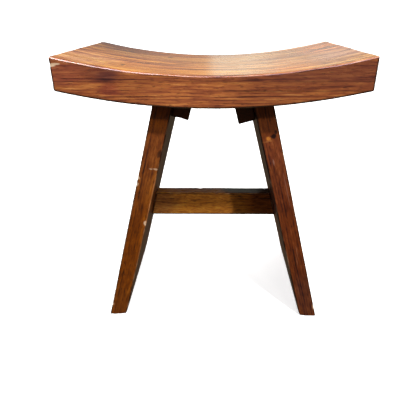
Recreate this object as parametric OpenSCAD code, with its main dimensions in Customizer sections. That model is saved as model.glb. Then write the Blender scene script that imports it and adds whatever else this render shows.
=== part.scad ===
// Bench stool with a dished seat on two splayed plank legs.
// X runs along the seat, Y from front to back, Z is up.
// The origin is on the floor, under the middle of the seat.

/* [Seat] */
// Length of the seat, end to end
seat_length = 450; // [400:5:500]
// Depth of the seat, front to back
seat_depth = 305; // [280:5:340]
// Thickness of the seat
seat_thickness = 46; // [40:1:52]
// Height of the seat's top above the floor, at the middle
seat_height = 440; // [400:5:480]
// How far the middle of the seat dips below its two ends
dish_depth = 26; // [15:1:35]
// Rounding of the seat's edges
seat_edge = 3; // [1:0.5:5]

/* [Plank legs] */
// Thickness of each plank
leg_thickness = 30; // [28:1:34]
// Distance from the seat's front and back to the planks' edges
leg_inset = 30; // [20:1:40]
// Lean of each plank away from upright, in degrees
leg_splay = 14.7; // [10:0.1:17]
// Clear distance between the two planks just under the seat
leg_gap = 120; // [100:2:140]
// Rounding of the planks' long edges
leg_edge = 2.5; // [1:0.5:4]

/* [Cleats] */
// Thickness of each cleat, measured square to the plank
cleat_thickness = 28; // [24:1:32]
// How far the left cleat reaches down its plank from the seat
left_cleat_drop = 22; // [20:1:30]
// How far the right cleat reaches down its plank from the seat
right_cleat_drop = 28; // [20:1:30]
// Distance from the planks' front and back edges to the cleats' ends
cleat_setback = 20; // [10:1:30]
// Rounding of the cleats' long edges
cleat_edge = 1.5; // [1:0.5:3]

/* [Stretcher] */
// Thickness of the stretcher, front to back
stretcher_thickness = 27; // [24:1:32]
// Height of the stretcher's section
stretcher_width = 46; // [40:1:52]
// Height of the stretcher's underside above the floor
stretcher_height = 159; // [130:1:200]
// Rounding of the stretcher's long edges
stretcher_edge = 2; // [1:0.5:4]
// Depth of the stub tenon at each end, square to the plank
tenon_depth = 12; // [8:1:14]
// Thickness of the tenons, front to back
tenon_thickness = 15; // [13:1:18]
// Height of the tenons' section
tenon_width = 30; // [28:1:34]

/* [Fasteners] */
// Length of the countersunk wood screws
screw_length = 50; // [45:1:52]
// Diameter over the screws' threads
screw_diameter = 4.5; // [4:0.5:5]
// Distance of the outer seat screws from the middle of a cleat
seat_screw_offset = 80; // [70:1:88]
// Distance of the leg screws from the middle of a cleat
leg_screw_offset = 40; // [30:1:50]
// Distance between the two stretcher screws at each end
stretcher_screw_spacing = 18; // [16:1:19]
// Diameter of the wood plugs over the stretcher screws
plug_diameter = 10; // [9.5:0.5:11]
// Depth of the wood plugs at their middle
plug_depth = 8; // [7:1:10]

/* [Hidden] */

// Facets of a full circle: the seat's great arcs, and small rounds
arc_fn = 360;
round_fn = 48;
// Play between a tenon and its mortise, and round a screw or plug in its hole
fit_gap = 0.05;
// Spare length by which a cutting shape runs past what it cuts
overrun = 20;

// The seat's two faces are arcs about one axis, which is parallel to Y
arc_radius = (pow(seat_length / 2, 2) + pow(dish_depth, 2)) / (2 * dish_depth);
underside_radius = arc_radius + seat_thickness;
arc_centre_z = seat_height + arc_radius;
underside_z = seat_height - seat_thickness;

leg_width = seat_depth - 2 * leg_inset;
leg_length = (underside_z + overrun) / cos(leg_splay) + overrun;
cleat_length = leg_width - 2 * cleat_setback;
stretcher_mid_z = stretcher_height + stretcher_width / 2;

// Height of the leg screws, measured down the plank from the seat
leg_screw_drop = 9;
// Depth of a screw's head below the face that it is driven into
head_recess = 0.4;

screw_radius = screw_diameter / 2;
head_radius = 4.3;
head_rim = 0.5;
head_height = 2.8;
core_radius = 1.6;
tip_length = 5;
plain_length = 18;
thread_pitch = 2.4;
recess_arm = 4.6;
recess_width = 1;
recess_depth = 1.6;

seat_color = "#8a4a2b";
leg_color = "#7a4022";
cleat_color = "#4a2c1c";
stretcher_color = "#9c6526";
plug_color = "#6b3a20";
screw_color = "#b8b09a";

// Distance of a plank's inner face from the middle at a height z
function inner_x(z) = leg_gap / 2 + (underside_z - z) * tan(leg_splay);

// Distance of a plank's outer face from the middle at a height z
function outer_x(z) = inner_x(z) + leg_thickness / cos(leg_splay);

// How far the cleat on one side reaches down from the seat
function cleat_drop(name) = name == "left" ? left_cleat_drop : right_cleat_drop;

// A rectangle about the origin with round corners
module rounded_rect(x, y, r) {
    square([x - 2 * r, y], center = true);
    square([x, y - 2 * r], center = true);
    for (sx = [-1, 1], sy = [-1, 1])
        translate([sx * (x / 2 - r), sy * (y / 2 - r)])
            circle(r = r, $fn = round_fn);
}

// The right-hand side as it is, or turned half round for the left
module on_side(name) {
    rotate([0, 0, name == "left" ? 180 : 0])
        children();
}

// The right plank's own frame: X square to the plank and outwards, Z up along it,
// with the origin where its inner face meets the underside of the seat
module plank_frame() {
    translate([leg_gap / 2, 0, underside_z])
        rotate([0, -leg_splay, 0])
            children();
}

// Everything above the underside of the seat, as a disc about the arcs' axis
module above_underside() {
    translate([0, 0, arc_centre_z])
        rotate([90, 0, 0])
            cylinder(r = underside_radius, h = 2 * seat_depth, center = true, $fn = arc_fn);
}

// Everything below the floor
module below_floor() {
    translate([0, 0, -seat_height / 2])
        cube([2 * seat_length, 2 * seat_depth, seat_height], center = true);
}

// The space between the planks, widened by depth into each of them
module between_planks(depth) {
    low = stretcher_height - overrun;
    high = stretcher_height + stretcher_width + overrun;
    x_low = inner_x(low) + depth / cos(leg_splay);
    x_high = inner_x(high) + depth / cos(leg_splay);
    rotate([90, 0, 0])
        linear_extrude(seat_depth, center = true)
            polygon([[-x_low, low], [x_low, low], [x_high, high], [-x_high, high]]);
}

// A bar along X at the stretcher's height
module stretcher_bar(thickness, height, edge) {
    translate([0, 0, stretcher_mid_z])
        rotate([90, 0, 90])
            linear_extrude(seat_length, center = true)
                rounded_rect(thickness, height, edge);
}

// A tenon's bar, larger all round by gap
module tenon_bar(gap) {
    stretcher_bar(tenon_thickness + 2 * gap, tenon_width + 2 * gap, stretcher_edge);
}

// Outline of half a screw, from the flat of its head at 0 to its tip
function screw_outline() =
    let (thread_length = screw_length - plain_length - tip_length,
         turns = floor(thread_length / thread_pitch),
         thread_end = plain_length + turns * thread_pitch)
    concat(
        [[0, 0], [head_radius, 0], [head_radius, head_rim], [core_radius + 0.2, head_height],
         [core_radius + 0.2, plain_length]],
        [for (i = [0 : turns - 1], step = [0 : 2])
            let (z = plain_length + i * thread_pitch)
            step == 0 ? [core_radius, z + 0.2]
            : step == 1 ? [screw_radius, z + thread_pitch * 0.5]
            : [core_radius, z + thread_pitch * 0.8]],
        [[core_radius, thread_end], [0, screw_length]]
    );

// A countersunk screw with a cross recess, driven towards +Z from a face at 0
module wood_screw() {
    translate([0, 0, head_recess])
        difference() {
            rotate_extrude($fn = round_fn)
                polygon(screw_outline());
            for (turn = [0, 90])
                rotate([0, 0, turn])
                    cube([recess_arm, recess_width, 2 * recess_depth], center = true);
        }
}

// The hole and countersink for such a screw
module screw_hole() {
    rim_z = head_recess + head_rim;
    hole_radius = screw_radius + fit_gap;
    translate([0, 0, -overrun])
        cylinder(r = head_radius + fit_gap, h = overrun + rim_z, $fn = round_fn);
    translate([0, 0, rim_z])
        cylinder(r1 = head_radius + fit_gap, r2 = hole_radius, h = head_height - head_rim,
                 $fn = round_fn);
    cylinder(r = hole_radius, h = screw_length + 1, $fn = round_fn);
}

// Places of the screws that go up into the seat through a cleat, named by its side
// but set out on the right
module at_seat_screws(name) {
    plank_frame()
        for (y = [-seat_screw_offset, 0, seat_screw_offset])
            translate([-cleat_thickness / 2, y, -cleat_drop(name)])
                children();
}

// Places of the screws that go through the right cleat into its plank
module at_leg_screws() {
    plank_frame()
        for (y = [-leg_screw_offset, leg_screw_offset])
            translate([-cleat_thickness, y, -leg_screw_drop])
                rotate([0, 90, 0])
                    children();
}

// Places of the screws that go through the right plank into the stretcher's end
module at_stretcher_screws() {
    for (side = [-1, 1])
        let (z = stretcher_mid_z + side * stretcher_screw_spacing / 2)
        translate([outer_x(z) - plug_depth, 0, z])
            rotate([0, -90, 0])
                children();
}

// The right plank before it is bored
module plank_blank() {
    difference() {
        plank_frame()
            translate([leg_thickness / 2, 0, overrun - leg_length])
                linear_extrude(leg_length)
                    rounded_rect(leg_thickness, leg_width, leg_edge);
        above_underside();
        below_floor();
    }
}

// The holes in the right plank, except for its mortise
module plank_holes() {
    at_leg_screws()
        screw_hole();
    at_stretcher_screws() {
        screw_hole();
        translate([0, 0, -overrun])
            cylinder(r = plug_diameter / 2 + fit_gap, h = overrun, $fn = round_fn);
    }
}

module seat() {
    color(seat_color)
        difference() {
            intersection() {
                translate([0, 0, arc_centre_z])
                    rotate([90, 0, 0])
                        rotate_extrude($fn = arc_fn)
                            translate([arc_radius + seat_thickness / 2, 0])
                                rounded_rect(seat_thickness, seat_depth, seat_edge);
                linear_extrude(seat_height + 2 * dish_depth)
                    rounded_rect(seat_length, seat_depth, seat_edge);
            }
            for (name = ["left", "right"])
                on_side(name)
                    at_seat_screws(name)
                        screw_hole();
        }
}

module leg(name) {
    color(leg_color)
        on_side(name)
            difference() {
                plank_blank();
                plank_holes();
                intersection() {
                    tenon_bar(fit_gap);
                    between_planks(tenon_depth + fit_gap);
                }
            }
}

module cleat(name) {
    color(cleat_color)
        on_side(name)
            difference() {
                plank_frame()
                    translate([-cleat_thickness / 2, 0, (overrun - cleat_drop(name)) / 2])
                        rotate([90, 0, 0])
                            linear_extrude(cleat_length, center = true)
                                rounded_rect(cleat_thickness, overrun + cleat_drop(name),
                                             cleat_edge);
                above_underside();
                at_seat_screws(name)
                    screw_hole();
                at_leg_screws()
                    screw_hole();
            }
}

module stretcher() {
    color(stretcher_color)
        difference() {
            union() {
                intersection() {
                    stretcher_bar(stretcher_thickness, stretcher_width, stretcher_edge);
                    between_planks(0);
                }
                intersection() {
                    tenon_bar(0);
                    between_planks(tenon_depth);
                }
            }
            for (name = ["left", "right"])
                on_side(name)
                    at_stretcher_screws()
                        screw_hole();
        }
}

module seat_screws(name) {
    color(screw_color)
        on_side(name)
            at_seat_screws(name)
                wood_screw();
}

module leg_screws(name) {
    color(screw_color)
        on_side(name)
            at_leg_screws()
                wood_screw();
}

module stretcher_screws(name) {
    color(screw_color)
        on_side(name)
            at_stretcher_screws()
                wood_screw();
}

module leg_plugs(name) {
    color(plug_color)
        on_side(name)
            intersection() {
                at_stretcher_screws()
                    translate([0, 0, -overrun])
                        cylinder(r = plug_diameter / 2, h = overrun, $fn = round_fn);
                plank_blank();
            }
}

seat();
leg("left");  // left_leg
leg("right");  // right_leg
cleat("left");  // left_cleat
cleat("right");  // right_cleat
stretcher();
seat_screws("left");  // left_seat_screws
seat_screws("right");  // right_seat_screws
leg_screws("left");  // left_leg_screws
leg_screws("right");  // right_leg_screws
stretcher_screws("left");  // left_stretcher_screws
stretcher_screws("right");  // right_stretcher_screws
leg_plugs("left");  // left_leg_plugs
leg_plugs("right");  // right_leg_plugs
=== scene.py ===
"""The looks of the bench stool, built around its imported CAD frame. Lengths are in metres."""

import math
import random

import bpy
import numpy as np
from mathutils import Matrix, Vector, noise


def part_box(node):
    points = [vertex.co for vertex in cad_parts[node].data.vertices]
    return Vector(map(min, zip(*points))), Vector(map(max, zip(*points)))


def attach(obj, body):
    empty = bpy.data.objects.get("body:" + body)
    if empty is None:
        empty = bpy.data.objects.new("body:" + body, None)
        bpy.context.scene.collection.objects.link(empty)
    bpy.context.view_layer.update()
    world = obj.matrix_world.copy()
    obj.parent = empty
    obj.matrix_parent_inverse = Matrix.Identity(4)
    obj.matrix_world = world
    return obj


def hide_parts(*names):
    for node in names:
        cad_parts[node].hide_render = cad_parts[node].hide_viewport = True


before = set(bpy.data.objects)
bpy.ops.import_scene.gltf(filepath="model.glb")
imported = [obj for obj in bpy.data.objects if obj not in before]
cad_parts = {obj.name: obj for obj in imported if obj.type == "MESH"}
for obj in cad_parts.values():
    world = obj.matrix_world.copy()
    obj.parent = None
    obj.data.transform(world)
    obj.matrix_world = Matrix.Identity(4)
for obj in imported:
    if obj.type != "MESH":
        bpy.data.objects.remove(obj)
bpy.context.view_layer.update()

MM = 0.001

# Sizes that the CAD boxes don't give
SEAT_THICKNESS = 46 * MM
LEG_THICKNESS = 30 * MM
LEG_SPLAY = math.radians(14.7)
LEG_GAP = 120 * MM
CLEAT_THICKNESS = 28 * MM
CLEAT_DROPS = {"left": 22 * MM, "right": 28 * MM}
TENON_THICKNESS = 15 * MM
TENON_WIDTH = 30 * MM
SEAT_SCREW_OFFSET = 80 * MM
LEG_SCREW_OFFSET = 40 * MM
LEG_SCREW_DROP = 9 * MM
STRETCHER_SCREW_SPACING = 18 * MM
SCREW_LENGTH = 50 * MM
SCREW_RADIUS = 2.3 * MM
HEAD_RADIUS = 4.3 * MM
HEAD_RIM = 0.9 * MM
HEAD_DEPTH = 3.2 * MM
PLUG_RADIUS = 5 * MM
PLUG_DEPTH = 8 * MM
FIT_GAP = 0.08 * MM
CUTTER_REACH = 20 * MM
SHARP_ANGLE = math.radians(42)

# Places worked out from the CAD boxes
seat_low, seat_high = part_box("seat")
leg_low, leg_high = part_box("right_leg")
cleat_low, cleat_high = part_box("right_cleat")
rail_low, rail_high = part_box("stretcher")
SEAT_HALF = (seat_high.x - seat_low.x) / 2
UNDERSIDE_Z = seat_low.z
DISH_DEPTH = seat_high.z - seat_low.z - SEAT_THICKNESS
ARC_RADIUS = (SEAT_HALF**2 + DISH_DEPTH**2) / (2 * DISH_DEPTH)
UNDERSIDE_RADIUS = ARC_RADIUS + SEAT_THICKNESS
ARC_CENTRE_Z = UNDERSIDE_Z + UNDERSIDE_RADIUS
SINE, COSINE = math.sin(LEG_SPLAY), math.cos(LEG_SPLAY)
RAIL_MID_Z = (rail_low.z + rail_high.z) / 2


# ---------------------------------------------------------------- shapes


def graded(half, cell):
    """Grid lines along one axis of a block, from -half to half, closer together at both ends."""
    steps = [d * MM for d in (0, 0.45, 1.0, 1.7, 2.6, 3.8, 5.4)]
    steps = [d for d in steps if d < 0.4 * half]
    inner = half - steps[-1]
    count = max(2, round(2 * inner / cell))
    middle = [-inner + 2 * inner * i / count for i in range(count + 1)]
    return [d - half for d in steps[:-1]] + middle + [half - d for d in reversed(steps[:-1])]


def shell(half, cell):
    """Points and quads of a block's surface, centred on the origin."""
    lines = [graded(h, cell) for h in half]
    index, points, quads = {}, [], []

    def vertex(key):
        if key not in index:
            index[key] = len(points)
            points.append([lines[axis][key[axis]] for axis in range(3)])
        return index[key]

    for axis in range(3):
        u, v = (axis + 1) % 3, (axis + 2) % 3
        for end in (0, len(lines[axis]) - 1):
            for i in range(len(lines[u]) - 1):
                for j in range(len(lines[v]) - 1):
                    corners = []
                    for di, dj in ((0, 0), (1, 0), (1, 1), (0, 1)):
                        key = [0, 0, 0]
                        key[axis], key[u], key[v] = end, i + di, j + dj
                        corners.append(vertex(tuple(key)))
                    quads.append(corners if end else corners[::-1])
    return np.array(points), quads


def field(points, scale, seed):
    """Smooth noise from -1 to 1 at each point. scale is a number or one for each axis."""
    moved = points * np.array(scale) + seed
    return np.array([noise.noise(Vector(p)) for p in moved])


def knocks(half, count, seed, size=(1.5, 4.5), depth=(0.2, 0.9)):
    """Dents that hard use leaves along a block's edges: centre, radius and depth of each."""
    chance = random.Random(seed)
    made = []
    for _ in range(count):
        axis = chance.choice([0, 0, 1, 1, 2])
        centre = [h * chance.choice([-1, 1]) for h in half]
        centre[axis] = chance.uniform(-half[axis], half[axis])
        made.append((centre, chance.uniform(*size) * MM, chance.uniform(*depth) * MM))
    return made


def worn_block(half, cell, edge, seed, dents):
    """A block with eased edges that wear has made uneven, faces that aren't quite flat, and dents."""
    points, quads = shell(half, cell)
    radius = edge * (1.15 + 0.45 * field(points, 22, seed) + 0.15 * field(points, 80, seed + 7))
    radius = np.clip(radius, 0.6 * MM, 0.45 * min(half))
    inner = np.array(half) - radius[:, None]
    core = np.clip(points, -inner, inner)
    normal = points - core
    normal /= np.linalg.norm(normal, axis=1)[:, None]
    points = core + normal * radius[:, None]
    sink = 0.10 * MM * (1 + field(points, 16, seed + 13)) + 0.03 * MM * (1 + field(points, 55, seed + 17))
    for centre, reach, depth in dents:
        away = np.linalg.norm((points - np.array(centre)) / reach, axis=1)
        sink += depth * np.exp(-(away**2))
    return points - normal * sink[:, None], quads


def mesh_object(name, points, faces):
    """A new object with that mesh, at the origin."""
    mesh = bpy.data.meshes.new(name)
    mesh.from_pydata([tuple(p) for p in points], [], faces)
    mesh.update()
    made = bpy.data.objects.new(name, mesh)
    bpy.context.scene.collection.objects.link(made)
    return made


def turned(name, profile, matrix, steps=40):
    """A closed solid turned from a profile of radius and height, whose first and last radius are 0."""
    points = [(0, 0, profile[0][1])]
    for radius, height in profile[1:-1]:
        for i in range(steps):
            angle = 2 * math.pi * i / steps
            points.append((radius * math.cos(angle), radius * math.sin(angle), height))
    points.append((0, 0, profile[-1][1]))
    last, rings = len(points) - 1, len(profile) - 2
    faces = []
    for i in range(steps):
        j = (i + 1) % steps
        faces.append((0, 1 + j, 1 + i))
        for ring in range(rings - 1):
            a, b = 1 + ring * steps, 1 + (ring + 1) * steps
            faces.append((a + i, a + j, b + j, b + i))
        top = 1 + (rings - 1) * steps
        faces.append((top + i, top + j, last))
    return mesh_object(name, [matrix @ Vector(p) for p in points], faces)


def carve(piece, cutters, operation="DIFFERENCE"):
    """Cuts the cutters out of a piece, or joins them to it, and removes them."""
    for cutter in cutters:
        carving = piece.modifiers.new("carve", "BOOLEAN")
        carving.solver = "EXACT"
        carving.operation = operation
        carving.object = cutter
    graph = bpy.context.evaluated_depsgraph_get()
    mesh = bpy.data.meshes.new_from_object(piece.evaluated_get(graph), depsgraph=graph)
    piece.modifiers.clear()
    piece.data = mesh
    for cutter in cutters:
        bpy.data.objects.remove(cutter)


# ---------------------------------------------------------------- places


def half_turn(side):
    """The right side as it is, or turned half round for the left."""
    return Matrix.Rotation(math.pi if side == "left" else 0, 4, "Z")


def plank_frame(side):
    """A plank's own frame: X square to it and outwards, Z up along it, from under the seat."""
    lean = Matrix.Rotation(-LEG_SPLAY, 4, "Y")
    return half_turn(side) @ Matrix.Translation((LEG_GAP / 2, 0, UNDERSIDE_Z)) @ lean


def inner_x(z):
    """Distance of a plank's inner face from the middle at a height z."""
    return LEG_GAP / 2 + (UNDERSIDE_Z - z) * math.tan(LEG_SPLAY)


def arc_z(x, radius):
    """Height of one of the seat's arcs at x."""
    return ARC_CENTRE_Z - np.sqrt(radius**2 - x**2)


def seat_place(points):
    """Bends the seat's flat block to its two arcs."""
    low = arc_z(points[:, 0], UNDERSIDE_RADIUS)
    high = arc_z(points[:, 0], ARC_RADIUS)
    share = points[:, 2] / SEAT_THICKNESS + 0.5
    return np.column_stack([points[:, 0], points[:, 1], low + (high - low) * share])


def reach_up(x):
    """How far up a plank's frame the seat's underside is, at x in that frame."""
    a = LEG_GAP / 2 + x * COSINE
    b = UNDERSIDE_Z + x * SINE - ARC_CENTRE_Z
    # (a - z sin)^2 + (b + z cos)^2 = radius^2, solved for the lower z
    middle = b * COSINE - a * SINE
    return -middle - np.sqrt(middle**2 - (a**2 + b**2 - UNDERSIDE_RADIUS**2))


def reach_down(x):
    """How far down a plank's frame the floor is, at x in that frame."""
    return (-UNDERSIDE_Z - x * SINE) / COSINE


def to_world(points, matrix):
    """Points of a frame, as an array, moved to the object's frame."""
    m = np.array(matrix)
    return points @ m[:3, :3].T + m[:3, 3]


def to_frame(points, matrix):
    """Points of the object's frame moved to another one."""
    return to_world(points, matrix.inverted())


def screw_cutter(matrix, plug=False):
    """The hole and countersink of a screw that is driven along +Z, with a plug's bore over it if asked."""
    bore = SCREW_RADIUS + FIT_GAP
    sink = HEAD_RADIUS + FIT_GAP
    entry = PLUG_RADIUS + FIT_GAP if plug else sink
    tip = SCREW_LENGTH + MM
    profile = [(0, -CUTTER_REACH), (entry, -CUTTER_REACH)]
    if plug:
        profile += [(entry, 0), (sink, 0)]
    profile += [(sink, HEAD_RIM), (bore, HEAD_DEPTH), (bore, tip), (0, tip)]
    return turned("screw_hole", profile, matrix)


def seat_screw_cutters(side):
    """Holes of the three screws up through a cleat into the seat."""
    base = plank_frame(side)
    x, z = -CLEAT_THICKNESS / 2, -CLEAT_DROPS[side]
    places = [(x, y, z) for y in (-SEAT_SCREW_OFFSET, 0, SEAT_SCREW_OFFSET)]
    return [screw_cutter(base @ Matrix.Translation(p)) for p in places]


def leg_screw_cutters(side):
    """Holes of the two screws through a cleat into its plank."""
    base, across = plank_frame(side), Matrix.Rotation(math.pi / 2, 4, "Y")
    places = [(-CLEAT_THICKNESS, y, -LEG_SCREW_DROP) for y in (-LEG_SCREW_OFFSET, LEG_SCREW_OFFSET)]
    return [screw_cutter(base @ Matrix.Translation(p) @ across) for p in places]


def stretcher_screw_cutters(side):
    """Holes of the two plugged screws through a plank into the stretcher's end."""
    made, inwards = [], Matrix.Rotation(-math.pi / 2, 4, "Y")
    for z in (RAIL_MID_Z - STRETCHER_SCREW_SPACING / 2, RAIL_MID_Z + STRETCHER_SCREW_SPACING / 2):
        x = inner_x(z) + LEG_THICKNESS / COSINE - PLUG_DEPTH
        place = half_turn(side) @ Matrix.Translation((x, 0, z)) @ inwards
        made.append(screw_cutter(place, plug=True))
    return made


def tenon(side, gap):
    """The stretcher's stub tenon at one end, larger all round by gap, as a block."""
    tip = rail_high.x + gap
    half = Vector(((tip - LEG_GAP / 2) / 2, TENON_THICKNESS / 2 + gap, TENON_WIDTH / 2 + gap))
    middle = Vector((tip - half.x, 0, RAIL_MID_Z))
    corners = [(x, y, z) for x in (-1, 1) for y in (-1, 1) for z in (-1, 1)]
    points = []
    for x, y, z in corners:
        p = middle + Vector((x * half.x, y * half.y, z * half.z))
        if x > 0:
            p.x -= (p.z - RAIL_MID_Z + TENON_WIDTH / 2) * math.tan(LEG_SPLAY)
        points.append(half_turn(side) @ p)
    faces = [(0, 1, 3, 2), (4, 6, 7, 5), (0, 4, 5, 1), (2, 3, 7, 6), (0, 2, 6, 4), (1, 5, 7, 3)]
    return mesh_object("tenon", points, faces)


# ---------------------------------------------------------------- materials


class Nodes:
    """Short names for the shader nodes that the materials are made of."""

    def __init__(self, name):
        self.material = bpy.data.materials.new(name)
        self.material.use_nodes = True
        self.tree = self.material.node_tree
        self.tree.nodes.clear()

    def add(self, kind, inputs=(), **settings):
        node = self.tree.nodes.new(kind)
        for name, value in settings.items():
            setattr(node, name, value)
        for name, value in dict(inputs).items():
            self.put(node.inputs[name], value)
        return node

    def put(self, socket, value):
        if isinstance(value, bpy.types.NodeSocket):
            self.tree.links.new(value, socket)
        else:
            socket.default_value = value

    def attribute(self, name, output):
        return self.add("ShaderNodeAttribute", attribute_name=name).outputs[output]

    def math(self, operation, a, b=0.0):
        return self.add("ShaderNodeMath", {0: a, 1: b}, operation=operation).outputs[0]

    def vector(self, operation, a, b):
        return self.add("ShaderNodeVectorMath", {0: a, 1: b}, operation=operation).outputs["Vector"]

    def length(self, a):
        return self.add("ShaderNodeVectorMath", {0: a}, operation="LENGTH").outputs["Value"]

    def noise(self, vector, stretch, detail=2.0, roughness=0.5, distortion=0.0, output="Fac"):
        inputs = {
            "Vector": self.vector("MULTIPLY", vector, stretch),
            "Scale": 1.0,
            "Detail": detail,
            "Roughness": roughness,
            "Distortion": distortion,
        }
        return self.add("ShaderNodeTexNoise", inputs).outputs[output]

    def step(self, value, low, high):
        """0 below low, 1 above high, and smooth between. high may be the lower of the two."""
        inputs = {"Value": value, "From Min": low, "From Max": high}
        return self.add("ShaderNodeMapRange", inputs, interpolation_type="SMOOTHSTEP").outputs["Result"]

    def mix(self, share, a, b, kind="MIX"):
        inputs = {"Factor": share, 6: a, 7: b}
        made = self.add("ShaderNodeMix", data_type="RGBA", blend_type=kind)
        for name, value in inputs.items():
            self.put(made.inputs[name], value)
        return made.outputs[2]

    def split(self, vector):
        return self.add("ShaderNodeSeparateXYZ", {0: vector}).outputs

    def finish(self, shader):
        output = self.add("ShaderNodeOutputMaterial")
        self.tree.links.new(shader.outputs[0], output.inputs["Surface"])
        return self.material


def colour(red, green, blue):
    return (red, green, blue, 1.0)


BARE_WOOD = colour(0.52, 0.29, 0.16)
SCAR = colour(0.66, 0.47, 0.31)
PALE_EDGE = colour(0.46, 0.18, 0.06)
KNOT = colour(0.010, 0.003, 0.003)

# How detailed the noises of the streaks and the fibres are
COARSE = {"detail": 4, "roughness": 0.6}
FINE = {"detail": 3, "roughness": 0.65}


def centred(n, value, gain):
    """A noise value spread about 0 by a gain."""
    return n.math("MULTIPLY", n.math("SUBTRACT", value, 0.5), gain)


def by_face(n, grain, faces, side_scale, top_scale, **settings):
    """Noise that is stretched one way on the faces that look up and another way on the rest."""
    side = n.math("MULTIPLY", n.noise(grain, side_scale, **settings), faces["side"])
    top = n.math("MULTIPLY", n.noise(grain, top_scale, **settings), faces["top"])
    return n.math("ADD", side, top)


def ring_lines(n, place, grain, look):
    """How far each point is dark latewood, from the rings round the pith."""
    wander = n.noise(grain, (2.6, 11, 11), detail=2, output="Color")
    bent = n.vector("SUBTRACT", wander, (0.5, 0.5, 0.5))
    bent = n.vector("MULTIPLY", bent, (0, look["wander"], look["wander"]))
    from_pith = n.vector("SUBTRACT", n.vector("ADD", place, bent), (0, *look["pith"]))
    radius = n.length(n.vector("MULTIPLY", from_pith, (0, 1, 1)))
    ring = n.math("DIVIDE", radius, look["ring"])
    ring = n.math("ADD", ring, n.math("MULTIPLY", n.noise(grain, (6, 60, 60)), 1.2))
    share = n.math("FRACT", ring)
    number = n.math("FLOOR", ring)
    chance = n.add("ShaderNodeTexWhiteNoise", {"W": number}, noise_dimensions="1D").outputs["Value"]
    late = n.math("MULTIPLY", n.step(share, 0.35, 0.9), n.step(share, 1.0, 0.94))
    strength = n.math("ADD", n.math("MULTIPLY", n.math("POWER", chance, 2.0), 0.9), 0.1)
    broken = n.step(n.noise(grain, (9, 50, 50), detail=2), 0.32, 0.58)
    return n.math("MULTIPLY", n.math("MULTIPLY", late, strength), broken), radius


def wood_tone(n, grain, faces, lines, late, look):
    """The wood's colour, from pale to dark by its broad bands, streaks, fibres, figure and rings."""
    broad = n.noise(grain, (2.2, 10, 22), detail=3)
    figure = n.noise(grain, look["figure_scale"], detail=3, distortion=1.2)
    tone = n.math("ADD", centred(n, broad, look["broad"]), look["lightness"])
    for name, value in lines.items():
        gain = n.math("ADD", n.math("MULTIPLY", faces["top"], look["top_" + name] - 1), 1.0)
        tone = n.math("ADD", tone, n.math("MULTIPLY", centred(n, value, look[name]), gain))
    tone = n.math("ADD", tone, centred(n, figure, look["figure"]))
    tone = n.math("SUBTRACT", tone, n.math("MULTIPLY", late, look["contrast"]))
    ramp = n.add("ShaderNodeValToRGB", {"Fac": tone})
    while len(ramp.color_ramp.elements) < len(look["tones"]):
        ramp.color_ramp.elements.new(0.5)
    for stop, (position, shade) in zip(ramp.color_ramp.elements, look["tones"]):
        stop.position = position
        stop.color = shade
    return ramp.outputs["Color"]


def spot(n, place, centre, size, fray):
    """Distance from a spot's centre, where 1 is its edge. fray makes the edge ragged."""
    away = n.length(n.vector("DIVIDE", n.vector("SUBTRACT", place, centre), size))
    return n.math("ADD", away, fray)


def tint_patches(n, base, place, faces, streaks, look):
    """Tints patches: most are where the wood is darker, paler, redder or yellower, and some paint shade
    and reflected light, as their comments say.
    """
    fray = centred(n, streaks, 0.9)
    for face, centre, size, tint in look["patches"]:
        near = n.step(spot(n, place, centre, size, fray), 1.3, 0.4)
        share = n.math("MULTIPLY", near, faces[face])
        base = n.mix(share, base, n.mix(1.0, base, tint, "MULTIPLY"))
    return base


def draw_lines(n, base, place, radius, streaks, look):
    """Draws single rings, each as far along the board as its reach."""
    along = n.math("ABSOLUTE", n.split(place)["X"])
    for line, thickness, strength, reach, choice in look["lines"]:
        away = n.math("ABSOLUTE", n.math("SUBTRACT", radius, line))
        near = n.step(away, thickness, 0.3 * thickness)
        near = n.math("MULTIPLY", near, n.step(streaks, 0.38, 0.52))
        near = n.math("MULTIPLY", near, n.step(along, reach, 0.6 * reach))
        base = n.mix(n.math("MULTIPLY", near, strength), base, look["tones"][choice][1])
    return base


def paint_edge_shade(n, base, edge, ragged, look):
    """Painted shade: darkens the edges of all faces but those that look up."""
    near = n.math("ADD", edge, centred(n, ragged, 1.2 * MM))
    edge_shade = n.math("MULTIPLY", n.step(near, look["edge_shade_width"], 0.45 * look["edge_shade_width"]), look["edge_shade"])
    edge_shade = n.math("MULTIPLY", edge_shade, n.step(n.attribute("upward", "Fac"), 0.35, 0.1))
    return n.mix(edge_shade, base, look["tones"][0][1])


def edge_wear(n, grain, edge, ragged, look):
    """How far the finish is worn off, in patches along the edges."""
    patchy = n.step(n.noise(grain, (34, 34, 34), detail=3), 0.48, 0.62)
    worn = n.step(n.math("ADD", edge, centred(n, ragged, 5 * MM)), 2.4 * MM, 0.3 * MM)
    return n.math("MULTIPLY", n.math("MULTIPLY", worn, patchy), look["wear"])


def colour_marks(n, base, place, ragged, look):
    """The colours of the knots, chips and scratches."""
    fray = centred(n, ragged, 2.2)
    for centre, size, tint, strength, _ in look["marks"]:
        near = n.step(spot(n, place, centre, size, fray), 1.35, 0.6)
        base = n.mix(n.math("MULTIPLY", near, strength), base, tint)
    return base


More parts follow.
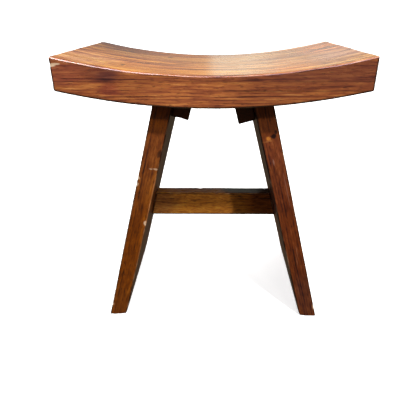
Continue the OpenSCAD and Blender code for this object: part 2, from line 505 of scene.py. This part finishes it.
def wood(name, look):
    """Varnished wood, cut from a log whose rings are round an axis along the grain. The mesh carries
    the point in the log, the depth from the nearest edge, and how far it faces up or is end grain."""
    n = Nodes(name)
    place = n.attribute("grain", "Vector")
    edge = n.attribute("edge", "Fac")
    end = n.attribute("end", "Fac")
    upward = n.step(n.attribute("upward", "Fac"), 0.55, 0.9)
    faces = {"top": upward, "side": n.math("SUBTRACT", 1.0, upward)}
    grain = n.vector("ADD", place, look["seed"])
    late, radius = ring_lines(n, place, grain, look)
    streaks = by_face(n, grain, faces, look["streak_scale"], look["top_streak_scale"], **COARSE)
    fibre = by_face(n, grain, faces, look["fibre_scale"], look["top_fibre_scale"], **FINE)
    ragged = n.noise(grain, (60, 220, 220), detail=3)
    pores = n.step(n.noise(grain, (90, 800, 800), detail=1), 0.60, 0.70)

    base = wood_tone(n, grain, faces, {"streaks": streaks, "fibre": fibre}, late, look)
    base = tint_patches(n, base, place, faces, streaks, look)
    base = draw_lines(n, base, place, radius, streaks, look)
    base = n.mix(n.math("MULTIPLY", pores, look["pores"]), base, look["tones"][0][1])
    base = n.mix(n.math("MULTIPLY", end, 0.6), base, look["end"])
    # Painted shade along the edges of faces that don't look up
    base = paint_edge_shade(n, base, edge, ragged, look)
    worn = edge_wear(n, grain, edge, ragged, look)
    base = n.mix(worn, base, BARE_WOOD)
    base = colour_marks(n, base, place, ragged, look)

    gloss = n.noise(grain, (22, 60, 60), detail=3)
    roughness = n.math("ADD", centred(n, gloss, 0.12), look["roughness"])
    roughness = n.math("ADD", roughness, n.math("MULTIPLY", worn, 0.2))
    relief = n.math("SUBTRACT", n.math("MULTIPLY", fibre, 0.7), n.math("MULTIPLY", pores, 0.7))
    relief = n.math("SUBTRACT", relief, n.math("MULTIPLY", late, 0.5))
    bump = n.add("ShaderNodeBump", {"Height": relief, "Strength": look["bump"], "Distance": 0.3 * MM})
    inputs = {
        "Base Color": base,
        "Roughness": roughness,
        "Normal": bump.outputs[0],
        "Specular IOR Level": look["specular"],
        "Coat Weight": look["coat"],
        "Coat Roughness": look["coat_roughness"],
    }
    return n.finish(n.add("ShaderNodeBsdfPrincipled", inputs))


# A look holds what differs between the boards. Its patches are (faces, centre, size, tint), its lines
# are (ring radius, thickness, strength, reach, number of the tone), and its marks are (centre, size,
# colour, strength, depth of the dent). Places are in the board's log coordinates, in metres.
LOOK = {
    "seed": (3.1, 1.7, 8.2),
    "wander": 0.006,
    "pith": (-0.15, -0.39),
    "ring": 0.0046,
    "tones": [
        (0.0, colour(0.020, 0.006, 0.005)),
        (0.25, colour(0.085, 0.018, 0.010)),
        (0.5, colour(0.24, 0.062, 0.021)),
        (0.75, colour(0.37, 0.118, 0.030)),
        (1.0, colour(0.56, 0.24, 0.07)),
    ],
    "lightness": 0.64,
    "broad": 0.5,
    "streaks": 0.55,
    "streak_scale": (2.8, 130, 150),
    "top_streaks": 4.0,
    "top_streak_scale": (3.5, 50, 14),
    "fibre": 1.25,
    "fibre_scale": (32, 300, 460),
    "top_fibre": 0.9,
    "top_fibre_scale": (9, 330, 60),
    "figure": 0.25,
    "figure_scale": (12, 26, 26),
    "contrast": 0.5,
    "pores": 0.6,
    "end": colour(0.06, 0.018, 0.009),
    # Painted shade along the edges of faces that don't look up: how dark and how wide
    "edge_shade": 0.95,
    "edge_shade_width": 4.0 * MM,
    "wear": 0.5,
    "patches": [],
    "lines": [],
    "marks": [],
    "roughness": 0.28,
    "specular": 0.5,
    "coat": 0.25,
    "coat_roughness": 0.12,
    "bump": 0.15,
}


def screw_metal():
    """Dull yellow-plated steel, darker in patches."""
    n = Nodes("screw_metal")
    place = n.add("ShaderNodeTexCoord").outputs["Object"]
    tarnish = n.step(n.noise(place, (420, 420, 420), detail=4), 0.4, 0.66)
    tone = n.mix(tarnish, colour(0.56, 0.46, 0.27), colour(0.22, 0.17, 0.10))
    rough = n.math("MULTIPLY_ADD", tarnish, 0.25)
    rough.node.inputs[2].default_value = 0.30
    inputs = {"Base Color": tone, "Roughness": rough, "Metallic": 1.0}
    return n.finish(n.add("ShaderNodeBsdfPrincipled", inputs))


def floor_paint():
    """A pale matt floor that is lit from within a little, so that shadows on it stay faint."""
    n = Nodes("floor_paint")
    place = n.add("ShaderNodeTexCoord").outputs["Object"]
    patches = n.noise(place, (1.5, 1.5, 1.5), detail=2)
    tone = n.mix(patches, colour(0.78, 0.78, 0.78), colour(0.82, 0.82, 0.82))
    inputs = {
        "Base Color": tone,
        "Roughness": 0.8,
        "Specular IOR Level": 0.0,
        "Emission Color": colour(1, 1, 1),
        "Emission Strength": 0.75,
    }
    painted = n.add("ShaderNodeBsdfPrincipled", inputs)
    clear = n.add("ShaderNodeBsdfTransparent")
    below = n.add("ShaderNodeNewGeometry").outputs["Backfacing"]
    both = n.add("ShaderNodeMixShader", {0: below, 1: painted.outputs[0], 2: clear.outputs[0]})
    return n.finish(both)


def card_paint():
    """The bright wall that the seat's varnish mirrors: dim, then a window, then a paler stretch."""
    n = Nodes("card_paint")
    across = n.split(n.add("ShaderNodeTexCoord").outputs["Object"])["X"]
    dim = n.mix(n.step(across, -0.6, -0.03), colour(0.32, 0.32, 0.33), colour(0.60, 0.50, 0.42))
    fade = n.step(across, 0.16, 0.40)
    window = n.mix(fade, colour(1.15, 1.30, 1.15), colour(0.98, 0.98, 0.86))
    tone = n.mix(n.step(across, -0.060, 0.010), dim, window)
    return n.finish(n.add("ShaderNodeEmission", {"Color": tone, "Strength": 1.0}))


# ---------------------------------------------------------------- pieces


def surface(mesh):
    """The points of a mesh and its normals there, as arrays."""
    count = len(mesh.vertices)
    points, normals = np.empty(count * 3), np.empty(count * 3)
    mesh.vertices.foreach_get("co", points)
    mesh.vertex_normals.foreach_get("vector", normals)
    return points.reshape(-1, 3), normals.reshape(-1, 3)


def sink_marks(mesh, grain, marks):
    """Presses the dents of the listed marks into a mesh. A mark is (centre, size, colour, strength,
    depth), with its centre and size in log coordinates."""
    points, normals = surface(mesh)
    places = grain(points)
    sink = np.zeros(len(points))
    for centre, size, _, _, depth in marks:
        away = np.linalg.norm((places - np.array(centre)) / np.array(size), axis=1)
        sink += depth * np.exp(-(away**2))
    mesh.vertices.foreach_set("co", (points - normals * sink[:, None]).ravel())
    mesh.update()


def dress(piece, node, material, depths, grain, axis, marks=()):
    """Gives a wood piece its marks, what its material reads from the mesh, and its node."""
    mesh = piece.data
    sink_marks(mesh, grain, marks)
    points, normals = surface(mesh)
    edge = np.sort(depths(points), axis=1)[:, 1]
    values = {
        "upward": ("FLOAT", "value", normals[:, 2]),
        "grain": ("FLOAT_VECTOR", "vector", grain(points).ravel()),
        "edge": ("FLOAT", "value", np.maximum(edge, 0)),
        "end": ("FLOAT", "value", np.abs(normals @ np.array(axis)) ** 4),
    }
    for name, (kind, field_name, data) in values.items():
        attribute = mesh.attributes.new(name, kind, "POINT")
        attribute.data.foreach_set(field_name, data.astype(np.float32))
    mesh.materials.clear()
    mesh.materials.append(material)
    mesh.shade_smooth()
    mesh.set_sharp_from_angle(angle=SHARP_ANGLE)
    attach(piece, "root")
    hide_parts(node)


def make_seat(look):
    """The seat: a flat board bent to its two arcs."""
    half = (SEAT_HALF, (seat_high.y - seat_low.y) / 2, SEAT_THICKNESS / 2)
    dents = knocks(half, 18, 11, size=(2.5, 5.5), depth=(0.1, 0.35))
    points, quads = worn_block(half, cell=2.6 * MM, edge=2.6 * MM, seed=5.0, dents=dents)
    piece = mesh_object("seat_board", seat_place(points), quads)
    carve(piece, seat_screw_cutters("left") + seat_screw_cutters("right"))

    def depths(p):
        low, high = arc_z(p[:, 0], UNDERSIDE_RADIUS), arc_z(p[:, 0], ARC_RADIUS)
        across = np.minimum(p[:, 2] - low, high - p[:, 2])
        return np.column_stack([half[0] - abs(p[:, 0]), half[1] - abs(p[:, 1]), across])

    material = wood("seat_wood", look)
    dress(piece, "seat", material, depths, lambda p: p, (1, 0, 0), look["marks"])


def make_leg(side, look):
    """A plank, cut to the seat's arc at the top and level with the floor at the bottom."""
    nominal = UNDERSIDE_Z / COSINE
    half = (LEG_THICKNESS / 2, (leg_high.y - leg_low.y) / 2, nominal / 2)
    base = plank_frame(side)
    seed = 21.0 if side == "left" else 37.0
    dents = knocks(half, 34, int(seed))
    points, quads = worn_block(half, cell=3.2 * MM, edge=2.0 * MM, seed=seed, dents=dents)
    x = points[:, 0] + LEG_THICKNESS / 2
    low, high = reach_down(x), reach_up(x)
    z = low + (high - low) * (points[:, 2] / nominal + 0.5)
    placed = to_world(np.column_stack([x, points[:, 1], z]), base)
    piece = mesh_object(side + "_plank", placed, quads)
    cutters = leg_screw_cutters(side) + stretcher_screw_cutters(side) + [tenon(side, FIT_GAP)]
    carve(piece, cutters)

    def depths(p):
        q = to_frame(p, base)
        lengthwise = np.minimum(q[:, 2] - reach_down(q[:, 0]), reach_up(q[:, 0]) - q[:, 2])
        thick = LEG_THICKNESS / 2 - abs(q[:, 0] - LEG_THICKNESS / 2)
        return np.column_stack([thick, half[1] - abs(q[:, 1]), lengthwise])

    def grain(p):
        return to_frame(p, base)[:, [2, 1, 0]]

    axis = base.to_3x3() @ Vector((0, 0, 1))
    material = wood(side + "_leg_wood", look)
    dress(piece, side + "_leg", material, depths, grain, axis, look["marks"])


def make_cleat(side, look):
    """A cleat, square to its plank and cut to the seat's arc at the top."""
    drop = CLEAT_DROPS[side]
    top = float(reach_up(-CLEAT_THICKNESS / 2))
    half = (CLEAT_THICKNESS / 2, (cleat_high.y - cleat_low.y) / 2, (drop + top) / 2)
    base = plank_frame(side)
    seed = 51.0 if side == "left" else 67.0
    dents = knocks(half, 8, int(seed))
    points, quads = worn_block(half, cell=2.6 * MM, edge=1.2 * MM, seed=seed, dents=dents)
    x = points[:, 0] - CLEAT_THICKNESS / 2
    share = points[:, 2] / (2 * half[2]) + 0.5
    z = -drop + (reach_up(x) + drop) * share
    placed = to_world(np.column_stack([x, points[:, 1], z]), base)
    piece = mesh_object(side + "_batten", placed, quads)
    carve(piece, leg_screw_cutters(side) + seat_screw_cutters(side))

    def depths(p):
        q = to_frame(p, base)
        upright = np.minimum(q[:, 2] + drop, reach_up(q[:, 0]) - q[:, 2])
        thick = CLEAT_THICKNESS / 2 - abs(q[:, 0] + CLEAT_THICKNESS / 2)
        return np.column_stack([thick, half[1] - abs(q[:, 1]), upright])

    def grain(p):
        return to_frame(p, base)[:, [1, 0, 2]]

    material = wood(side + "_cleat_wood", look)
    dress(piece, side + "_cleat", material, depths, grain, (0, 1, 0))


def make_stretcher(look):
    """The stretcher, with sloping ends and a stub tenon at each."""
    half_x = inner_x(RAIL_MID_Z)
    half = (half_x, (rail_high.y - rail_low.y) / 2, (rail_high.z - rail_low.z) / 2)
    dents = knocks(half, 14, 83)
    points, quads = worn_block(half, cell=2.6 * MM, edge=1.5 * MM, seed=83.0, dents=dents)
    height = points[:, 2] + RAIL_MID_Z
    stretch = inner_x(height) / half_x
    placed = np.column_stack([points[:, 0] * stretch, points[:, 1], height])
    piece = mesh_object("stretcher_rail", placed, quads)
    carve(piece, [tenon("left", 0), tenon("right", 0)], "UNION")
    carve(piece, stretcher_screw_cutters("left") + stretcher_screw_cutters("right"))

    def depths(p):
        ends = inner_x(p[:, 2]) - abs(p[:, 0])
        return np.column_stack([ends, half[1] - abs(p[:, 1]), half[2] - abs(p[:, 2] - RAIL_MID_Z)])

    material = wood("stretcher_wood", look)
    dress(piece, "stretcher", material, depths, lambda p: p, (1, 0, 0))


def dress_fasteners(look):
    """The screws and plugs stay as the CAD has them, with materials of their own."""
    metal, wood_plug = screw_metal(), plug_wood(look)
    for name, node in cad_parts.items():
        if name.endswith("_screws"):
            node.data.materials.clear()
            node.data.materials.append(metal)
        if name.endswith("_plugs"):
            node.data.materials.clear()
            node.data.materials.append(wood_plug)


def plug_wood(look):
    """The plugs' varnished wood, whose log coordinates are their places."""
    n = Nodes("plug_wood")
    place = n.add("ShaderNodeTexCoord").outputs["Object"]
    lines = n.step(n.noise(place, (60, 1100, 160), detail=3), 0.35, 0.7)
    tone = n.mix(lines, look["tones"][2][1], look["tones"][1][1])
    pores = n.step(n.noise(place, (400, 1600, 900), detail=1), 0.64, 0.72)
    tone = n.mix(n.math("MULTIPLY", pores, 0.6), tone, look["tones"][0][1])
    bump = n.add("ShaderNodeBump", {"Height": lines, "Strength": 0.2, "Distance": 0.2 * MM})
    inputs = {
        "Base Color": tone,
        "Roughness": 0.4,
        "Normal": bump.outputs[0],
        "Coat Weight": 0.3,
        "Coat Roughness": 0.2,
    }
    return n.finish(n.add("ShaderNodeBsdfPrincipled", inputs))


SEAT_LOOK = {
    **LOOK,
    "patches": [
        ("top", (0, -0.125, 0.45), (0.60, 0.050, 0.05), colour(1.20, 1.32, 0.8)),
        # Painted highlight: paler under the bright window that the varnish reflects
        ("top", (0.12, 0, 0.45), (0.16, 0.30, 0.05), colour(1.05, 1.15, 1.2)),
        ("top", (0, 0.08, 0.45), (0.60, 0.15, 0.05), colour(1.03, 1.18, 1.0)),
        ("top", (0, 0.135, 0.45), (0.60, 0.035, 0.05), colour(0.97, 0.84, 0.62)),
        # Painted highlight: paler under the bright window that the varnish reflects
        ("top", (0.02, -0.05, 0.45), (0.07, 0.07, 0.05), colour(1.15, 1.25, 1.2)),
        # Painted dark reflection: the next two patches darken the back left, where the varnish reflects
        # little light
        ("top", (-0.21, 0.12, 0.46), (0.12, 0.13, 0.06), colour(0.72, 0.72, 0.62)),
        ("top", (-0.20, 0.135, 0.46), (0.08, 0.05, 0.06), colour(0.60, 0.58, 0.50)),
        # Painted highlight: bluer at the front left, where the front edge's lilac highlight spreads
        ("top", (-0.20, -0.085, 0.45), (0.06, 0.07, 0.05), colour(1.08, 1.34, 2.2)),
        ("top", (-0.05, -0.115, 0.45), (0.05, 0.05, 0.05), colour(0.82, 0.69, 0.50)),
        ("top", (-0.10, -0.045, 0.45), (0.13, 0.04, 0.05), colour(1.62, 1.85, 1.35)),
        ("top", (-0.10, 0.05, 0.45), (0.10, 0.06, 0.05), colour(0.85, 0.86, 0.93)),
        # Painted highlight: paler under the bright window that the varnish reflects
        ("top", (0.05, 0.01, 0.45), (0.04, 0.03, 0.05), colour(1.25, 1.35, 1.30)),
        ("top", (0.155, -0.035, 0.45), (0.035, 0.04, 0.05), colour(0.85, 0.87, 0.92)),
        ("top", (0.11, -0.12, 0.45), (0.04, 0.02, 0.05), colour(1.25, 1.10, 0.70)),
        # Painted highlight: bluer at the front left, where the front edge's lilac highlight spreads
        ("top", (-0.20, -0.125, 0.45), (0.05, 0.02, 0.05), colour(0.88, 0.85, 1.45)),
        # Painted reflection: the next two patches lighten the right end and turn its front bluer, where
        # the varnish reflects a lilac-grey room
        ("top", (0.205, 0.06, 0.45), (0.05, 0.07, 0.05), colour(2.00, 1.75, 1.20)),
        ("top", (0.21, -0.08, 0.45), (0.06, 0.14, 0.05), colour(1.10, 1.48, 3.0)),
        ("side", (-0.155, -0.153, 0.443), (0.036, 0.02, 0.012), colour(0.60, 0.52, 0.78)),
        ("side", (-0.147, -0.153, 0.440), (0.016, 0.02, 0.008), colour(0.60, 0.58, 0.90)),
        ("side", (-0.146, -0.153, 0.421), (0.016, 0.02, 0.010), colour(0.78, 0.60, 0.85)),
        ("side", (-0.165, -0.153, 0.420), (0.07, 0.02, 0.030), colour(1.08, 1.06, 1.05)),
        ("side", (-0.205, -0.153, 0.445), (0.03, 0.02, 0.02), colour(0.90, 0.80, 1.1)),
        ("side", (0.17, -0.153, 0.445), (0.14, 0.02, 0.020), colour(0.66, 0.63, 0.92)),
        ("side", (-0.03, -0.153, 0.414), (0.07, 0.02, 0.026), colour(1.28, 1.32, 1.35)),
        ("side", (0.09, -0.153, 0.420), (0.05, 0.02, 0.030), colour(0.90, 0.88, 0.95)),
    ],
    "lines": [
        (0.809, 0.0010, 0.65, 0.6, 0),
        (0.822, 0.0010, 0.50, 0.6, 0),
        (0.801, 0.0006, 0.40, 0.6, 0),
        (0.8404, 0.0007, 0.50, 0.14, 0),
        (0.8381, 0.0007, 0.40, 0.14, 4),
        (0.8440, 0.0005, 0.18, 0.15, 0),
    ],
    "marks": [
        ((-0.2240, -0.1525, 0.4540), (0.0060, 0.005, 0.0018), SCAR, 1.0, 0.8 * MM),
        ((-0.2165, -0.1525, 0.4557), (0.0062, 0.005, 0.0011), SCAR, 0.9, 0.3 * MM),
        ((-0.080, 0.063, 0.444), (0.0045, 0.0065, 0.01), KNOT, 0.80, 0.0),
        ((-0.098, 0.039, 0.445), (0.0050, 0.0035, 0.01), KNOT, 0.35, 0.0),
        ((-0.134, -0.100, 0.449), (0.0035, 0.0080, 0.01), KNOT, 0.60, 0.0),
    ],
}
LEG_LOOK = {
    **LOOK,
    "tones": [
        (0.0, colour(0.012, 0.004, 0.002)),
        (0.25, colour(0.045, 0.010, 0.004)),
        (0.5, colour(0.120, 0.025, 0.004)),
        (0.75, colour(0.18, 0.042, 0.006)),
        (1.0, colour(0.28, 0.080, 0.016)),
    ],
    "streaks": 0.45,
    "fibre": 1.1,
    "fibre_scale": (45, 260, 300),
    "figure": 0.5,
    "figure_scale": (55, 120, 150),
    "edge_shade_width": 2.6 * MM,
    "wear": 0.45,
    "coat": 0.05,
    "specular": 0.22,
    "roughness": 0.36,
}
# A dent without a colour, all along the edge between a plank's foot and its inner face
ROUNDED_FOOT = ((-0.4073, 0, 0), (0.006, 1, 0.006), PALE_EDGE, 0.0, 1.5 * MM)
LEFT_LEG_LOOK = {
    **LEG_LOOK,
    "seed": (7.3, 2.2, 0.4),
    "pith": (0.10, -0.30),
    "patches": [
        ("side", (-0.30, 0.12, 0.015), (0.18, 0.05, 0.05), colour(1.0, 1.05, 0.35)),
        ("side", (-0.10, 0.12, 0.015), (0.08, 0.05, 0.05), colour(1.15, 1.35, 1.7)),
        ("side", (-0.026, 0.12, 0.015), (0.022, 0.05, 0.05), colour(1.25, 1.25, 0.4)),
        ("side", (-0.17, 0.12, 0.003), (0.09, 0.05, 0.006), colour(1.40, 1.55, 1.2)),
        ("side", (-0.39, 0.12, 0.015), (0.05, 0.05, 0.05), colour(0.86, 0.92, 1.5)),
    ],
    "marks": [
        ((-0.1065, 0.1225, 0.0050), (0.0016, 0.004, 0.0040), SCAR, 0.55, 0.3 * MM),
        ((-0.1080, 0.1225, 0.0125), (0.0012, 0.004, 0.0030), SCAR, 0.40, 0.3 * MM),
        ((-0.2070, 0.1225, 0.0012), (0.0045, 0.004, 0.0034), SCAR, 0.95, 0.5 * MM),
        ((-0.1277, 0.1225, 0.0285), (0.0030, 0.004, 0.0024), SCAR, 0.75, 0.3 * MM),
        ((-0.1390, 0.1225, 0.0287), (0.0036, 0.004, 0.0022), SCAR, 0.75, 0.3 * MM),
        ((-0.3740, 0.1225, 0.0295), (0.0030, 0.004, 0.0018), SCAR, 0.60, 0.3 * MM),
        ((-0.3890, 0.1225, 0.0290), (0.0035, 0.004, 0.0020), SCAR, 0.60, 0.3 * MM),
        ((-0.0800, 0.1225, 0.0030), (0.0060, 0.006, 0.0040), KNOT, 0.75, 0.2 * MM),
        # Pale orange lines along the inner edge of the front face
        ((-0.1400, 0.1225, 0.0012), (0.0350, 0.003, 0.0012), PALE_EDGE, 0.70, 0.0),
        ((-0.1850, 0.1225, 0.0012), (0.0250, 0.003, 0.0010), PALE_EDGE, 0.60, 0.0),
        ((-0.2600, 0.1225, 0.0012), (0.0500, 0.003, 0.0010), PALE_EDGE, 0.40, 0.0),
        ROUNDED_FOOT,
    ],
}
RIGHT_LEG_LOOK = {
    **LEG_LOOK,
    "seed": (1.9, 6.4, 3.3),
    "pith": (-0.06, 0.35),
    "patches": [
        ("side", (-0.25, -0.12, 0.015), (0.18, 0.05, 0.05), colour(0.78, 0.73, 1.08)),
        ("side", (-0.09, -0.12, 0.015), (0.08, 0.05, 0.05), colour(1.05, 1.13, 1.7)),
        ("side", (-0.31, -0.12, 0.015), (0.06, 0.05, 0.05), colour(0.87, 0.87, 0.87)),
        ("side", (-0.078, -0.12, 0.015), (0.024, 0.05, 0.05), colour(1.2, 1.2, 1.5)),
        ("side", (-0.37, -0.12, 0.020), (0.06, 0.05, 0.03), colour(0.78, 0.96, 1.9)),
    ],
    "marks": [
        ((-0.0540, -0.1225, 0.0200), (0.0030, 0.006, 0.0040), KNOT, 0.95, 0.4 * MM),
        ((-0.0490, -0.1225, 0.0245), (0.0034, 0.006, 0.0024), KNOT, 0.85, 0.2 * MM),
        ((-0.0560, -0.1225, 0.0110), (0.0032, 0.006, 0.0032), colour(0.55, 0.19, 0.03), 0.80, 0.0),
        ((-0.0600, -0.1225, 0.0095), (0.0016, 0.006, 0.0055), colour(0.45, 0.17, 0.05), 0.45, 0.0),
        ((-0.2660, -0.1225, 0.0195), (0.0110, 0.003, 0.0006), colour(0.30, 0.13, 0.07), 0.50, 0.2 * MM),
        ((-0.2850, -0.1225, 0.0165), (0.0110, 0.003, 0.0006), colour(0.30, 0.13, 0.07), 0.50, 0.2 * MM),
        ((-0.0950, -0.1225, 0.0120), (0.0050, 0.003, 0.0012), colour(0.34, 0.18, 0.13), 0.40, 0.0),
        ((-0.1450, -0.1225, 0.0235), (0.0280, 0.003, 0.0007), colour(0.30, 0.13, 0.08), 0.45, 0.1 * MM),
        ((-0.3920, -0.1225, 0.0285), (0.0050, 0.004, 0.0014), SCAR, 0.60, 0.3 * MM),
        ROUNDED_FOOT,
    ],
}
# Painted shade: the cleats are made darker than the planks because they sit in the shade under the seat
CLEAT_LOOK = {**LEG_LOOK, "seed": (4.4, 9.1, 2.7), "pith": (0.03, 0.05), "lightness": 0.38}
STRETCHER_LOOK = {
    **LOOK,
    "seed": (2.8, 5.5, 6.1),
    "pith": (0.09, 0.10),
    "tones": [
        (0.0, colour(0.03, 0.010, 0.004)),
        (0.25, colour(0.16, 0.052, 0.009)),
        (0.5, colour(0.34, 0.115, 0.016)),
        (0.75, colour(0.43, 0.165, 0.022)),
        (1.0, colour(0.54, 0.25, 0.04)),
    ],
    "streaks": 0.5,
    "fibre": 0.9,
    "figure": 1.3,
    "figure_scale": (60, 160, 210),
    "patches": [
        # Painted shade: the next two patches darken the stretcher's top under the seat, most at the right
        ("top", (0, 0, 0.205), (0.40, 0.05, 0.02), colour(0.45, 0.38, 0.30)),
        ("top", (0.08, 0, 0.205), (0.06, 0.05, 0.02), colour(0.40, 0.36, 0.36)),
        ("side", (-0.105, -0.0135, 0.185), (0.040, 0.05, 0.04), colour(0.60, 0.60, 1.0)),
        # Painted shade: darker at the right end, in the right plank's shadow
        ("side", (0.105, -0.0135, 0.185), (0.050, 0.05, 0.06), colour(0.54, 0.40, 0.34)),
    ],
    "coat": 0.0,
    "specular": 0.12,
}

make_seat(SEAT_LOOK)
make_leg("left", LEFT_LEG_LOOK)
make_leg("right", RIGHT_LEG_LOOK)
make_cleat("left", CLEAT_LOOK)
make_cleat("right", {**CLEAT_LOOK, "seed": (8.8, 1.3, 5.9)})
make_stretcher(STRETCHER_LOOK)
dress_fasteners(LEG_LOOK)


# ---------------------------------------------------------------- studio


def make_floor():
    """A round level floor that curves up to a wall far away on every side. It only shows to the camera."""
    reach, bend, height, steps, bend_steps = 7.0, 2.0, 40.0, 96, 12
    line = [(reach, 0.0)]
    for i in range(1, bend_steps + 1):
        angle = math.pi / 2 * i / bend_steps
        line.append((reach + bend * math.sin(angle), bend - bend * math.cos(angle)))
    line.append((reach + bend, height))
    turns = [2 * math.pi * i / steps for i in range(steps)]
    points = [(0, 0, 0)]
    points += [(r * math.cos(turn), r * math.sin(turn), z) for r, z in line for turn in turns]
    faces = []
    for i in range(steps):
        j = (i + 1) % steps
        faces.append((0, 1 + i, 1 + j))
        for ring in range(len(line) - 1):
            a, b = 1 + ring * steps, 1 + (ring + 1) * steps
            faces.append((a + i, b + i, b + j, a + j))
    floor = mesh_object("floor", points, faces)
    floor.data.materials.append(floor_paint())
    floor.data.shade_smooth()
    floor.visible_glossy = False
    floor.visible_diffuse = False
    floor.visible_shadow = False


def towards(azimuth, elevation):
    """The direction to a lamp, in degrees: azimuth from the front towards +X, and elevation."""
    a, e = math.radians(azimuth), math.radians(elevation)
    return Vector((math.sin(a) * math.cos(e), -math.cos(a) * math.cos(e), math.sin(e)))


def sun(name, azimuth, elevation, strength, angle):
    """A lamp far away in that direction, which gives no gloss of its own."""
    lamp = bpy.data.lights.new(name, "SUN")
    lamp.energy = strength
    lamp.angle = math.radians(angle)
    made = bpy.data.objects.new(name, lamp)
    made.rotation_mode = "QUATERNION"
    made.rotation_quaternion = towards(azimuth, elevation).to_track_quat("Z", "Y")
    made.visible_glossy = False
    bpy.context.scene.collection.objects.link(made)


def panel(name, place, aim, size, power, tint=(1, 1, 1)):
    """A rectangular lamp, turned towards the point that it is aimed at, which the camera can't see."""
    lamp = bpy.data.lights.new(name, "AREA")
    lamp.shape = "RECTANGLE"
    lamp.size, lamp.size_y = size
    lamp.energy = power
    lamp.color = tint
    made = bpy.data.objects.new(name, lamp)
    made.location = place
    made.rotation_mode = "QUATERNION"
    made.rotation_quaternion = (Vector(place) - Vector(aim)).to_track_quat("Z", "Y")
    made.visible_camera = False
    bpy.context.scene.collection.objects.link(made)
    return made


def make_overhead():
    """A wide lamp above, which gives no gloss of its own."""
    lamp = panel("overhead", (0, 0.5, 2.4), (0, 0, 0.44), (2.2, 2.2), 52)
    lamp.visible_glossy = False


def make_gleam(name, x, power, tint):
    """A lamp high in front that only glossy edges show."""
    gleam = panel(name, (x, -1.1, 1.8), (0, -0.15, 0.44), (1.2, 1.4), power, tint)
    gleam.visible_diffuse = False


def make_world():
    """A dim room, brighter overhead than round about and below."""
    world = bpy.data.worlds.new("room")
    world.use_nodes = True
    tree = world.node_tree
    background = tree.nodes["Background"]
    place = tree.nodes.new("ShaderNodeTexCoord")
    split = tree.nodes.new("ShaderNodeSeparateXYZ")
    ramp = tree.nodes.new("ShaderNodeValToRGB")
    tree.links.new(place.outputs["Generated"], split.inputs[0])
    tree.links.new(split.outputs["Z"], ramp.inputs[0])
    tree.links.new(ramp.outputs[0], background.inputs["Color"])
    ramp.color_ramp.elements[0].color = colour(0.125, 0.098, 0.063)
    ramp.color_ramp.elements[1].color = colour(0.42, 0.43, 0.45)
    ramp.color_ramp.elements[0].position = 0.3
    bpy.context.scene.world = world


def make_card():
    """The card behind the object, which only reflections show."""
    width, low, high, y = 1.6, 0.585, 0.92, 2.0
    points = [(-width, y, low), (width, y, low), (width, y, high), (-width, y, high)]
    card = mesh_object("card", points, [(0, 1, 2, 3)])
    card.data.materials.append(card_paint())
    card.visible_camera = False
    card.visible_diffuse = False
    card.visible_shadow = False


def make_camera():
    """The camera that a phone held at about half a metre's height had."""
    place = Vector((0.004, seat_low.y - 0.5965, 0.521))
    pan, tilt, roll = math.radians(1.09), math.radians(25.32), math.radians(-0.18)
    camera = bpy.data.objects.new("camera", bpy.data.cameras.new("camera"))
    level = Matrix.Rotation(pan, 4, "Z") @ Matrix.Rotation(math.pi / 2, 4, "X")
    turn = level @ Matrix.Rotation(-tilt, 4, "X") @ Matrix.Rotation(roll, 4, "Z")
    camera.matrix_world = Matrix.Translation(place) @ turn
    camera.data.sensor_width = 36
    camera.data.lens = 36.09
    camera.data.clip_start = 0.01
    bpy.context.scene.collection.objects.link(camera)
    bpy.context.scene.camera = camera


make_floor()
sun("key_low", 27.5, 36.7, strength=1.05, angle=3.5)
sun("key_high", 20, 57, strength=3.40, angle=3.5)
sun("key_side", 7, 41.8, strength=0.25, angle=3.5)
# Lights the outer faces on the left, which the photo's view doesn't reach
sun("fill", -105, 5, strength=1.3, angle=25)
make_overhead()
make_gleam("left_gleam", x=-0.75, power=122, tint=(0.95, 0.90, 1))
make_gleam("right_gleam", x=0.75, power=44, tint=(0.95, 0.82, 1))
make_card()
make_world()
make_camera()
bpy.context.scene.view_settings.view_transform = "Standard"
